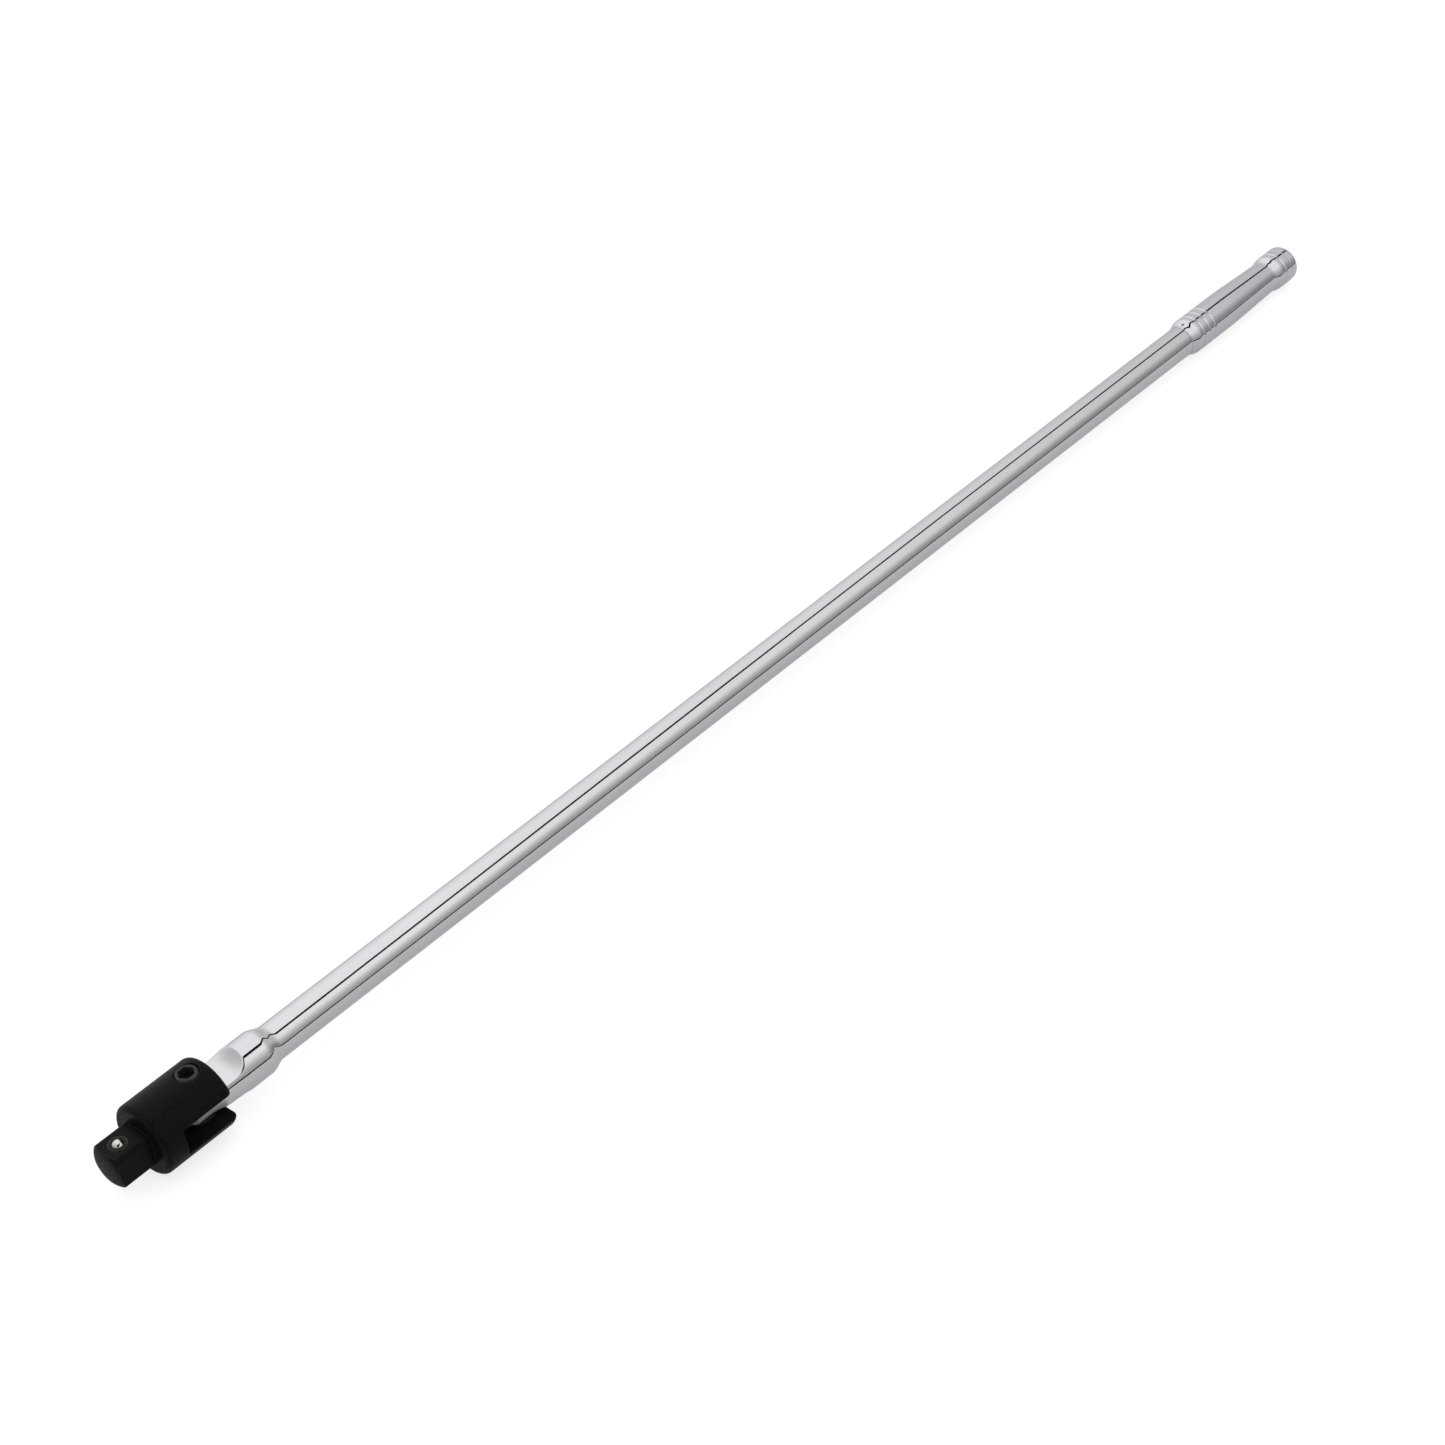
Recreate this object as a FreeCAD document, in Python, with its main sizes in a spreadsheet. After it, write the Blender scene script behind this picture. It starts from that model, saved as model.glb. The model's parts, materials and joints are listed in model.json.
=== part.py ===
import FreeCAD, Part
import Sketcher
import math
import os

# Flex-head breaker bar, 3/4 inch square drive, 1 m long, as a parametric document.
#
# Row frame, in millimetres: the origin is the centre of the drive shoulder, the face that a
# socket seats against. +X runs back along the bar to the handle, and +Z is the axis of the
# pivot screw, on the side of its hex socket.

Vector = FreeCAD.Vector

doc = FreeCAD.newDocument("BreakerBar")

# ---------------------------------------------------------------- driving dimensions

SIZES = {
    # overall
    "bar_length": 1000.0,           # drive tip to the end of the handle
    # square drive
    "square_side": 19.05,           # 3/4 inch male square
    "square_corner": 2.5,
    "square_length": 22.2,
    "nose_radius": 7.4,             # edge of the slightly domed nose
    "nose_crown": 0.45,
    "nose_dome": 60.0,              # radius of the dome
    "nose_run": 3.2,                # length of the turned chamfer on the corners
    "nose_reach": 12.95,            # radius that the chamfer reaches, near the corners
    "nose_flank": 9.0,              # radius of the chamfer's own curve
    # forked head
    "head_radius": 20.0,
    "head_length": 44.9,
    "shoulder_round": 3.0,
    "ear_round": 3.6,
    "ear_behind_pivot": 11.2,       # the ears end this far behind the pivot's centre
    "slot_half": 7.3,
    "slot_front": 21.0,             # slot floor to the pivot's centre
    "slot_root": 1.4,
    "forged_edge": 0.6,             # rounding of the fork's edges and of the square's root
    # pivot screw
    "pin_radius": 6.1,
    "fit_gap": 0.05,                # radial running clearance of the pivot
    "thread_radius": 5.0,           # M10 thread, plain
    "screw_top": 19.5,
    "screw_tail": 18.9,
    "hex_across": 8.0,
    "hex_depth": 6.0,
    "hole_chamfer": 0.55,
    "pellet_radius": 1.0,
    "pellet_depth": 3.0,
    "pellet_drop": 13.0,            # pellet's axis below the pivot's centre
    # friction washers
    "washer_thick": 1.2,
    "washer_radius": 9.4,
    "washer_gap": 0.15,             # washer's bore to the pivot screw, radial
    # detent
    "ball_radius": 3.5,
    "ball_proud": 1.6,
    "ball_back": 12.2,              # ball's centre to the drive shoulder
    "ball_gap": 0.06,
    "spring_gap": 0.1,              # top coil to the ball
    "mouth_radius": 3.12,
    "stake_inner": 4.1,
    "stake_outer": 4.75,
    "stake_depth": 0.35,
    "well_floor": 3.0,              # well's floor, below the drive's axis
    "coil_radius": 2.4,
    "wire_radius": 0.35,
    "coil_pitch": 1.3,
    # bar
    "eye_radius": 10.0,
    "tongue_half": 6.0,
    "flare_start": 3.0,
    "flare_end": 14.0,
    "collar_radius": 12.6,
    "neck_radius": 12.2,
    "collar_start": 27.0,
    "collar_end": 40.2,
    "rod_start": 51.0,
    "rod_radius": 10.0,
    "scoop_start": 17.3,            # where the flats start to run out
    "scoop_radius": 12.0,
    "tail_insert": 63.0,            # how far the bar reaches into the sleeve
    "edge_break": 0.5,
    # handle, lengths from the sleeve's front edge
    "sleeve_length": 109.0,
    "lip_radius": 10.15,
    "shoulder_length": 8.5,
    "grip_radius": 12.0,
    "ring_first": 11.1,
    "ring_pitch": 5.8,
    "ring_half": 0.95,
    "ring_deep": 0.35,
    "taper_start": 41.0,
    "taper_line": 57.0,
    "taper_line_radius": 11.7,
    "waist_at": 92.0,
    "waist_radius": 10.5,
    "knob_start": 100.5,
    "knob_radius": 11.9,
    "knob_ring": 103.0,
    "waist_bore": 8.7,
    "bore_cone": 20.0,              # length of the cone between the two front bores
    "plug_bore": 10.0,
    # end plug
    "plug_depth": 9.0,
    "plug_cap": 8.8,
    "plug_round": 4.0,
    "plug_crown": 0.5,
    # handle pin
    "lock_radius": 1.0,
    "lock_at": 3.4,
    "lock_floor": 5.0,
    "lock_top": 10.6,
    # how far a cut's outline stands clear of the surface that it removes
    "overcut": 1.0,
}

sheet = doc.addObject("Spreadsheet::Sheet", "Sizes")
for row, (alias, value) in enumerate(SIZES.items(), start=1):
    sheet.set("A%d" % row, alias)
    sheet.set("B%d" % row, str(value))
    sheet.setAlias("B%d" % row, alias)
doc.recompute()

# Places worked out from the driving dimensions, as expressions on the sheet.
PIVOT_AT = "Sizes.head_length - Sizes.ear_behind_pivot"
SLEEVE_AT = "Sizes.bar_length - Sizes.square_length - Sizes.plug_cap - Sizes.sleeve_length"
PLUG_AT = "Sizes.bar_length - Sizes.square_length - Sizes.plug_cap"
BALL_HEIGHT = "Sizes.square_side / 2 + Sizes.ball_proud - Sizes.ball_radius"
OUTSIDE = "2 * Sizes.head_radius"   # clears the thickest part, for cuts that go right through
TOLERANCE = 0.001                   # for finding an edge by its place


def value_of(expression):
    """The number that an expression on the sheet gives."""
    return float(sheet.evalExpression(expression.replace("Sizes.", "")))


# ---------------------------------------------------------------- sketch and feature helpers

def new_body(label, place_x="0", place_z="0"):
    body = doc.addObject("PartDesign::Body", label)
    body.Label = label
    body.setExpression("Placement.Base.x", place_x)
    body.setExpression("Placement.Base.z", place_z)
    return body


def sketch_on(body, name, role, offset_x="0", offset_z="0"):
    """A sketch on one of the body's own origin planes, shifted in that plane's frame."""
    plane = next(item for item in body.Origin.OriginFeatures if item.Role == role)
    sketch = body.newObject("Sketcher::SketchObject", name)
    sketch.AttachmentSupport = [(plane, "")]
    sketch.MapMode = "FlatFace"
    sketch.setExpression("AttachmentOffset.Base.x", offset_x)
    sketch.setExpression("AttachmentOffset.Base.z", offset_z)
    return sketch


def bind(sketch, constraint, expression):
    """Add a constraint and tie its size to the sheet."""
    index = sketch.addConstraint(constraint)
    sketch.setExpression("Constraints[%d]" % index, expression)


def pin_point(sketch, edge, end, across, up):
    """Place one end of an edge by its two coordinates."""
    if across == "0":
        sketch.addConstraint(Sketcher.Constraint("PointOnObject", edge, end, -2))
    else:
        value = value_of(across)
        bind(sketch, Sketcher.Constraint("DistanceX", -1, 1, edge, end, value), across)
    if up == "0":
        sketch.addConstraint(Sketcher.Constraint("PointOnObject", edge, end, -1))
    else:
        value = value_of(up)
        bind(sketch, Sketcher.Constraint("DistanceY", -1, 1, edge, end, value), up)


def arc_between(start, end, radius, side):
    """The arc from start to end whose bulge is to the left (side 1) or right (side -1). A
    sketch keeps every arc anticlockwise, so one that bulges left is drawn from its far end."""
    chord = end - start
    half = chord.Length / 2
    rise = radius - math.sqrt(max(radius ** 2 - half ** 2, 0))
    left = Vector(-chord.y, chord.x, 0).normalize()
    middle = (start + end) / 2 + left * (rise * side)
    return Part.Arc(end, middle, start) if side > 0 else Part.Arc(start, middle, end)


def outline(sketch, corners):
    """Draw a closed outline. A corner is (across, up), in expressions on the sheet. A corner
    (across, up, radius, side) is reached by an arc, bulging to the left or right of the way."""
    points = [Vector(value_of(c[0]), value_of(c[1]), 0) for c in corners]
    ends = []
    for index, corner in enumerate(corners):
        start, end = points[index - 1], points[index]
        if len(corner) == 2:
            edge = sketch.addGeometry(Part.LineSegment(start, end))
            ends.append((edge, 1, 2))
            continue
        side = corner[3]
        edge = sketch.addGeometry(arc_between(start, end, value_of(corner[2]), side))
        ends.append((edge, 2, 1) if side > 0 else (edge, 1, 2))
    for index, (edge, first, last) in enumerate(ends):
        after = ends[(index + 1) % len(ends)]
        sketch.addConstraint(Sketcher.Constraint("Coincident", edge, last, after[0], after[1]))
    for (edge, first, last), corner in zip(ends, corners):
        pin_point(sketch, edge, last, corner[0], corner[1])
        if len(corner) == 4:
            radius = value_of(corner[2])
            bind(sketch, Sketcher.Constraint("Radius", edge, radius), corner[2])


def circle(sketch, radius, across="0", up="0"):
    centre = Vector(value_of(across), value_of(up), 0)
    edge = sketch.addGeometry(Part.Circle(centre, Vector(0, 0, 1), value_of(radius)))
    pin_point(sketch, edge, 3, across, up)
    bind(sketch, Sketcher.Constraint("Radius", edge, value_of(radius)), radius)


def s_curve(x_start, r_start, x_end, r_end, side):
    """Two equal arcs, tangent to the axis direction at both ends, as two outline corners."""
    run = "(%s - %s)" % (x_end, x_start)
    rise = "abs(%s - %s)" % (r_end, r_start)
    radius = "(%s ^ 2 + %s ^ 2) / (4 * %s)" % (run, rise, rise)
    middle = ("(%s + %s) / 2" % (x_start, x_end), "(%s + %s) / 2" % (r_start, r_end))
    return [(middle[0], middle[1], radius, side), (x_end, r_end, radius, -side)]


def rolled_ring(centre, outer):
    """A shallow round groove in a turned surface, as outline corners running along +X."""
    radius = "(Sizes.ring_half ^ 2 + Sizes.ring_deep ^ 2) / (2 * Sizes.ring_deep)"
    return [("%s - Sizes.ring_half" % centre, outer),
            ("%s + Sizes.ring_half" % centre, outer, radius, -1)]


def revolve(body, name, sketch, axis="H_Axis", cut=False):
    kind = "PartDesign::Groove" if cut else "PartDesign::Revolution"
    feature = body.newObject(kind, name)
    feature.Profile = sketch
    feature.ReferenceAxis = (sketch, [axis])
    feature.Angle = 360
    doc.recompute()
    return feature


def extrude(body, name, sketch, length, kind="Pad", symmetric=False, reverse=False):
    feature = body.newObject("PartDesign::" + kind, name)
    feature.Profile = sketch
    feature.SideType = "Symmetric" if symmetric else "One side"
    feature.Reversed = reverse
    feature.setExpression("Length", length)
    doc.recompute()
    return feature


def round_off(body, name, chosen):
    """Round the edges of the body's newest feature that chosen() accepts, with what follows on
    from them smoothly."""
    base = body.Tip
    names = ["Edge%d" % number for number, edge in enumerate(base.Shape.Edges, start=1) if chosen(edge)]
    feature = body.newObject("PartDesign::Fillet", name)
    feature.Base = (base, names)
    feature.setExpression("Radius", "Sizes.forged_edge")
    doc.recompute()
    return feature


# ---------------------------------------------------------------- drive end

def make_drive_head():
    """Forked head: square drive in front, two ears behind. Its own origin is the pivot."""
    body = new_body("drive_head", PIVOT_AT)
    front = "-(%s)" % PIVOT_AT
    back = "Sizes.ear_behind_pivot"

    blank = sketch_on(body, "blank_outline", "XZ_Plane")
    outline(blank, [
        (front, "0"),
        (front, "Sizes.head_radius - Sizes.shoulder_round"),
        ("%s + Sizes.shoulder_round" % front, "Sizes.head_radius", "Sizes.shoulder_round", 1),
        ("%s - Sizes.ear_round" % back, "Sizes.head_radius"),
        (back, "Sizes.head_radius - Sizes.ear_round", "Sizes.ear_round", 1),
        (back, "0"),
    ])
    revolve(body, "blank", blank)

    half = "Sizes.square_side / 2"
    inner = "%s - Sizes.square_corner" % half
    section = sketch_on(body, "square_section", "YZ_Plane", offset_z=front)
    outline(section, [
        (half, "-(%s)" % inner),
        (half, inner),
        (inner, half, "Sizes.square_corner", -1),
        ("-(%s)" % inner, half),
        ("-(%s)" % half, inner, "Sizes.square_corner", -1),
        ("-(%s)" % half, "-(%s)" % inner),
        ("-(%s)" % inner, "-(%s)" % half, "Sizes.square_corner", -1),
        (inner, "-(%s)" % half),
        (half, "-(%s)" % inner, "Sizes.square_corner", -1),
    ][1:])
    extrude(body, "square_drive", section, "Sizes.square_length", reverse=True)

    tip = "%s - Sizes.square_length" % front
    nose = sketch_on(body, "nose_outline", "XZ_Plane")
    outline(nose, [
        (tip, "0"),
        ("%s + Sizes.nose_crown" % tip, "Sizes.nose_radius", "Sizes.nose_dome", 1),
        ("%s + Sizes.nose_run" % tip, "Sizes.nose_reach", "Sizes.nose_flank", 1),
        ("%s + Sizes.nose_run" % tip, "Sizes.square_side"),
        ("%s - Sizes.nose_run" % tip, "Sizes.square_side"),
        ("%s - Sizes.nose_run" % tip, "0"),
    ])
    revolve(body, "turned_nose", nose, cut=True)

    floor = "-Sizes.slot_front"
    slot = sketch_on(body, "slot_outline", "XZ_Plane")
    outline(slot, [
        (floor, "Sizes.slot_half - Sizes.slot_root"),
        ("%s + Sizes.slot_root" % floor, "Sizes.slot_half", "Sizes.slot_root", 1),
        ("%s + Sizes.overcut" % back, "Sizes.slot_half"),
        ("%s + Sizes.overcut" % back, "-Sizes.slot_half"),
        ("%s + Sizes.slot_root" % floor, "-Sizes.slot_half"),
        (floor, "-Sizes.slot_half + Sizes.slot_root", "Sizes.slot_root", 1),
    ])
    extrude(body, "fork_slot", slot, OUTSIDE + " * 2", kind="Pocket", symmetric=True)
    round_off(body, "fork_edges", on_slot_edge)
    round_off(body, "square_root", on_square_root)

    hole = sketch_on(body, "pivot_hole", "XZ_Plane")
    bore = "Sizes.pin_radius + Sizes.fit_gap"
    lead = "Sizes.head_radius - Sizes.hole_chamfer"
    outline(hole, [
        ("0", "0"),
        ("0", "Sizes.head_radius + Sizes.overcut"),
        ("%s + Sizes.hole_chamfer * 2" % bore, "Sizes.head_radius + Sizes.overcut"),
        ("%s + Sizes.hole_chamfer" % bore, lead),
        (bore, "%s - Sizes.hole_chamfer * 3" % lead),
        (bore, "0"),
    ])
    revolve(body, "upper_ear_hole", hole, axis="V_Axis", cut=True)
    tapped = sketch_on(body, "tapped_hole", "XY_Plane")
    circle(tapped, "Sizes.thread_radius")
    extrude(body, "lower_ear_thread", tapped, OUTSIDE, kind="Pocket")

    ball_at = "%s - Sizes.ball_back" % front
    cut_detent_well(body, ball_at)
    return body


def ends_of(edge):
    return [edge.valueAt(edge.FirstParameter), edge.valueAt(edge.LastParameter)]


def on_slot_edge(edge):
    """Whether an edge is one of the long ones, between the slot's sides and the head's outside."""
    wide = value_of("Sizes.slot_half")
    outside = value_of("Sizes.head_radius")
    return all(abs(abs(spot.z) - wide) < TOLERANCE and
               abs(math.hypot(spot.y, spot.z) - outside) < TOLERANCE for spot in ends_of(edge))


def on_square_root(edge):
    """Whether an edge is one of the four straight ones where the square leaves the shoulder."""
    shoulder = -value_of(PIVOT_AT)
    half = value_of("Sizes.square_side / 2")
    return all(abs(spot.x - shoulder) < TOLERANCE and
               abs(max(abs(spot.y), abs(spot.z)) - half) < TOLERANCE for spot in ends_of(edge))


def cut_detent_well(body, ball_at):
    """The well for the detent ball and its spring, staked over at the mouth."""
    seat = "Sizes.ball_radius + Sizes.ball_gap"
    lip_rise = "sqrt((%s) ^ 2 - Sizes.mouth_radius ^ 2)" % seat
    flat = "Sizes.square_side / 2"
    well = sketch_on(body, "detent_well", "XZ_Plane", offset_x=ball_at)
    outline(well, [
        ("0", "-Sizes.well_floor - Sizes.ball_radius / 2"),
        (seat, "-Sizes.well_floor"),
        (seat, BALL_HEIGHT),
        ("Sizes.mouth_radius", "%s + %s" % (BALL_HEIGHT, lip_rise), seat, -1),
        ("Sizes.mouth_radius", "%s + Sizes.overcut" % flat),
        ("0", "%s + Sizes.overcut" % flat),
    ])
    revolve(body, "ball_well", well, axis="V_Axis", cut=True)
    ring = sketch_on(body, "stake_ring", "XZ_Plane", offset_x=ball_at)
    outline(ring, [
        ("Sizes.stake_inner", "%s + Sizes.overcut" % flat),
        ("Sizes.stake_inner", "%s - Sizes.stake_depth" % flat),
        ("Sizes.stake_outer", flat),
        ("Sizes.stake_outer", "%s + Sizes.overcut" % flat),
    ])
    return revolve(body, "staked_ring", ring, axis="V_Axis", cut=True)


def make_detent_ball():
    ball = doc.addObject("Part::Sphere", "detent_ball")
    ball.Label = "detent_ball"
    ball.setExpression("Radius", "Sizes.ball_radius")
    ball.setExpression("Placement.Base.x", "-Sizes.ball_back")
    ball.setExpression("Placement.Base.z", BALL_HEIGHT)
    return ball


def make_detent_spring():
    """Compression spring in the well, under the ball."""
    body = new_body("detent_spring", "-Sizes.ball_back", "-Sizes.well_floor + Sizes.wire_radius")
    wire = sketch_on(body, "wire_section", "XZ_Plane")
    circle(wire, "Sizes.wire_radius", across="Sizes.coil_radius")
    coil = body.newObject("PartDesign::AdditiveHelix", "coil")
    coil.Profile = wire
    coil.ReferenceAxis = (wire, ["V_Axis"])
    coil.Mode = "pitch-height-angle"
    coil.setExpression("Pitch", "Sizes.coil_pitch")
    # Up to where the top coil meets the underside of the ball.
    ball_under = "sqrt((Sizes.ball_radius + Sizes.wire_radius) ^ 2 - Sizes.coil_radius ^ 2)"
    height = "%s + Sizes.well_floor - Sizes.wire_radius - %s - Sizes.spring_gap"
    height = height % (BALL_HEIGHT, ball_under)
    coil.setExpression("Height", height)
    doc.recompute()
    return body


# ---------------------------------------------------------------- pivot

def make_pivot_screw():
    """Hex-socket screw: smooth pivot shank, threaded into the lower ear."""
    body = new_body("pivot_screw", PIVOT_AT)
    shape = sketch_on(body, "screw_outline", "XZ_Plane")
    screw_thread = "Sizes.thread_radius - Sizes.fit_gap"
    outline(shape, [
        ("0", "-Sizes.screw_tail"),
        ("%s - Sizes.edge_break * 2" % screw_thread, "-Sizes.screw_tail"),
        (screw_thread, "-Sizes.screw_tail + Sizes.edge_break * 2"),
        (screw_thread, "-Sizes.slot_half"),
        ("Sizes.pin_radius", "-Sizes.slot_half"),
        ("Sizes.pin_radius", "Sizes.screw_top - Sizes.edge_break"),
        ("Sizes.pin_radius - Sizes.edge_break", "Sizes.screw_top"),
        ("0", "Sizes.screw_top"),
    ])
    revolve(body, "screw", shape, axis="V_Axis")

    corner = "Sizes.hex_across / 2 / cos(30)"
    half_side = "Sizes.hex_across / 2 * tan(30)"
    flat = "Sizes.hex_across / 2"
    socket = sketch_on(body, "hex_outline", "XY_Plane", offset_z="Sizes.screw_top")
    outline(socket, [
        (corner, "0"),
        (half_side, flat),
        ("-(%s)" % half_side, flat),
        ("-(%s)" % corner, "0"),
        ("-(%s)" % half_side, "-(%s)" % flat),
        (half_side, "-(%s)" % flat),
    ])
    extrude(body, "hex_socket", socket, "Sizes.hex_depth", kind="Pocket")

    drill = sketch_on(body, "pellet_hole", "YZ_Plane", offset_z="Sizes.thread_radius + Sizes.overcut")
    circle(drill, "Sizes.pellet_radius", up="-Sizes.pellet_drop")
    extrude(body, "pellet_seat", drill, "Sizes.pellet_depth + Sizes.overcut + Sizes.fit_gap", kind="Pocket")
    return body


def make_lock_pellet():
    """Nylon pellet across the screw's thread, which keeps the screw from working loose."""
    pellet = doc.addObject("Part::Cylinder", "thread_lock_pellet")
    pellet.Label = "thread_lock_pellet"
    pellet.setExpression("Radius", "Sizes.pellet_radius")
    pellet.setExpression("Height", "Sizes.pellet_depth")
    pellet.Placement.Rotation = FreeCAD.Rotation(Vector(0, 1, 0), 90)
    inner_end = "Sizes.thread_radius - Sizes.fit_gap - Sizes.pellet_depth"
    pellet.setExpression("Placement.Base.x", "%s + %s" % (PIVOT_AT, inner_end))
    pellet.setExpression("Placement.Base.z", "-Sizes.pellet_drop")
    return pellet


def make_friction_washer(label, under):
    """Flat washer between an ear and the bar's tongue."""
    body = new_body(label, PIVOT_AT, under)
    rings = sketch_on(body, label + "_rings", "XY_Plane")
    circle(rings, "Sizes.washer_radius")
    circle(rings, "Sizes.pin_radius + Sizes.washer_gap")
    extrude(body, label + "_disc", rings, "Sizes.washer_thick")
    return body


# ---------------------------------------------------------------- bar and handle

def make_bar_shank():
    """Forged and turned bar: flat tongue with an eye, collar, and a long round rod."""
    body = new_body("bar_shank", PIVOT_AT)
    tail = "%s - (%s) + Sizes.tail_insert" % (SLEEVE_AT, PIVOT_AT)
    turned = sketch_on(body, "turned_outline", "XZ_Plane")
    flare = s_curve("Sizes.flare_start", "Sizes.eye_radius",
                    "Sizes.flare_end", "Sizes.neck_radius", -1)
    neck = s_curve("Sizes.collar_end", "Sizes.collar_radius",
                   "Sizes.rod_start", "Sizes.rod_radius", 1)
    outline(turned, [
        ("-Sizes.eye_radius", "0"),
        ("-Sizes.eye_radius", "Sizes.eye_radius"),
        ("Sizes.flare_start", "Sizes.eye_radius"),
        *flare,
        ("Sizes.collar_start", "Sizes.collar_radius"),
        ("Sizes.collar_end", "Sizes.collar_radius"),
        *neck,
        ("%s - Sizes.edge_break" % tail, "Sizes.rod_radius"),
        (tail, "Sizes.rod_radius - Sizes.edge_break"),
        (tail, "0"),
    ])
    revolve(body, "turned_bar", turned)

    edge = "Sizes.eye_radius + Sizes.overcut * 3"
    eye = sketch_on(body, "eye_outline", "XY_Plane")
    outline(eye, [
        ("0", "Sizes.eye_radius"),
        ("0", edge),
        ("-(%s)" % edge, edge),
        ("-(%s)" % edge, "-(%s)" % edge),
        ("0", "-(%s)" % edge),
        ("0", "-Sizes.eye_radius"),
        ("-Sizes.eye_radius", "0", "Sizes.eye_radius", 1),
        ("0", "Sizes.eye_radius", "Sizes.eye_radius", 1),
    ][1:])
    extrude(body, "round_eye", eye, OUTSIDE, kind="Pocket", symmetric=True)

    for side, sign in (("upper", ""), ("lower", "-")):
        cut_flat(body, side, sign)

    bore = sketch_on(body, "eye_bore", "XY_Plane")
    circle(bore, "Sizes.pin_radius + Sizes.fit_gap")
    bored = extrude(body, "pivot_bore", bore, OUTSIDE, kind="Pocket", symmetric=True)

    lock_x = "%s - (%s) + Sizes.lock_at" % (SLEEVE_AT, PIVOT_AT)
    lock = sketch_on(body, "lock_hole", "XY_Plane", offset_z="Sizes.rod_radius + Sizes.overcut")
    circle(lock, "Sizes.lock_radius", across=lock_x)
    depth = "Sizes.rod_radius + Sizes.overcut - Sizes.lock_floor"
    extrude(body, "lock_drilling", lock, depth, kind="Pocket")
    return body


def cut_flat(body, side, sign):
    """One flat of the tongue. It runs out through the collar as a round scoop."""
    bulge = -1 if sign == "" else 1
    top = "Sizes.collar_radius + Sizes.overcut"
    rise = "(%s - Sizes.tongue_half)" % top
    reach = "sqrt(Sizes.scoop_radius ^ 2 - (Sizes.scoop_radius - %s) ^ 2)" % rise
    flat = sketch_on(body, side + "_flat_outline", "XZ_Plane")
    outline(flat, [
        ("-Sizes.eye_radius - Sizes.overcut", "%s(%s)" % (sign, top)),
        ("-Sizes.eye_radius - Sizes.overcut", "%sSizes.tongue_half" % sign),
        ("Sizes.scoop_start", "%sSizes.tongue_half" % sign),
        ("Sizes.scoop_start + %s" % reach, "%s(%s)" % (sign, top), "Sizes.scoop_radius", bulge),
    ])
    return extrude(body, side + "_flat", flat, OUTSIDE, kind="Pocket", symmetric=True)


def make_handle_sleeve():
    """Polished tubular grip, pressed over the bar's tail. Its own origin is its front edge."""
    body = new_body("handle_sleeve", SLEEVE_AT)
    rings = []
    for number in range(3):
        centre = "Sizes.ring_first + %d * Sizes.ring_pitch" % number
        rings += rolled_ring(centre, "Sizes.grip_radius")
    slope = "(Sizes.grip_radius - Sizes.taper_line_radius)"
    run = "(Sizes.taper_line - Sizes.taper_start)"
    taper_bend = "(%s ^ 2 + %s ^ 2) / (2 * %s)" % (run, slope, slope)
    profile = sketch_on(body, "sleeve_outline", "XZ_Plane")
    outline(profile, [
        ("0", "Sizes.rod_radius"),
        ("0", "Sizes.lip_radius"),
        *s_curve("0", "Sizes.lip_radius", "Sizes.shoulder_length", "Sizes.grip_radius", -1),
        *rings,
        ("Sizes.taper_start", "Sizes.grip_radius"),
        ("Sizes.taper_line", "Sizes.taper_line_radius", taper_bend, 1),
        ("Sizes.waist_at", "Sizes.waist_radius"),
        *s_curve("Sizes.waist_at", "Sizes.waist_radius",
                 "Sizes.knob_start", "Sizes.knob_radius", -1),
        *rolled_ring("Sizes.knob_ring", "Sizes.knob_radius"),
        ("Sizes.sleeve_length - Sizes.edge_break", "Sizes.knob_radius"),
        ("Sizes.sleeve_length", "Sizes.knob_radius - Sizes.edge_break"),
        ("Sizes.sleeve_length", "Sizes.plug_bore"),
        ("Sizes.sleeve_length - Sizes.plug_depth - Sizes.edge_break", "Sizes.plug_bore"),
        ("Sizes.waist_at", "Sizes.waist_bore"),
        ("Sizes.tail_insert + Sizes.bore_cone", "Sizes.waist_bore"),
        ("Sizes.tail_insert", "Sizes.rod_radius"),
    ])
    revolve(body, "formed_tube", profile)
    hole = sketch_on(body, "pin_hole", "XY_Plane", offset_z="Sizes.grip_radius + Sizes.overcut")
    circle(hole, "Sizes.lock_radius", across="Sizes.lock_at")
    extrude(body, "pin_drilling", hole, "Sizes.grip_radius / 2", kind="Pocket")
    return body


def make_end_plug():
    """Turned plug that closes the sleeve. Its own origin is the cap's inner face."""
    body = new_body("end_plug", PLUG_AT)
    cap_edge = "Sizes.plug_cap - Sizes.plug_crown"
    inner = "Sizes.knob_radius - Sizes.plug_round"
    crown_bend = "((%s) ^ 2 + Sizes.plug_crown ^ 2) / (2 * Sizes.plug_crown)" % inner
    profile = sketch_on(body, "plug_outline", "XZ_Plane")
    outline(profile, [
        ("-Sizes.plug_depth", "0"),
        ("-Sizes.plug_depth", "Sizes.plug_bore - Sizes.edge_break"),
        ("-Sizes.plug_depth + Sizes.edge_break", "Sizes.plug_bore"),
        ("0", "Sizes.plug_bore"),
        ("0", "Sizes.knob_radius - Sizes.edge_break"),
        ("Sizes.edge_break", "Sizes.knob_radius"),
        ("%s - Sizes.plug_round" % cap_edge, "Sizes.knob_radius"),
        (cap_edge, inner, "Sizes.plug_round", 1),
        ("Sizes.plug_cap", "0", crown_bend, 1),
    ])
    revolve(body, "plug", profile)
    return body


def make_handle_pin():
    """Small pin driven through the sleeve's shoulder into the bar."""
    pin = doc.addObject("Part::Cylinder", "handle_pin")
    pin.Label = "handle_pin"
    pin.setExpression("Radius", "Sizes.lock_radius")
    pin.setExpression("Height", "Sizes.lock_top - Sizes.lock_floor")
    pin.setExpression("Placement.Base.x", "%s + Sizes.lock_at" % SLEEVE_AT)
    pin.setExpression("Placement.Base.z", "Sizes.lock_floor")
    return pin


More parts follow.
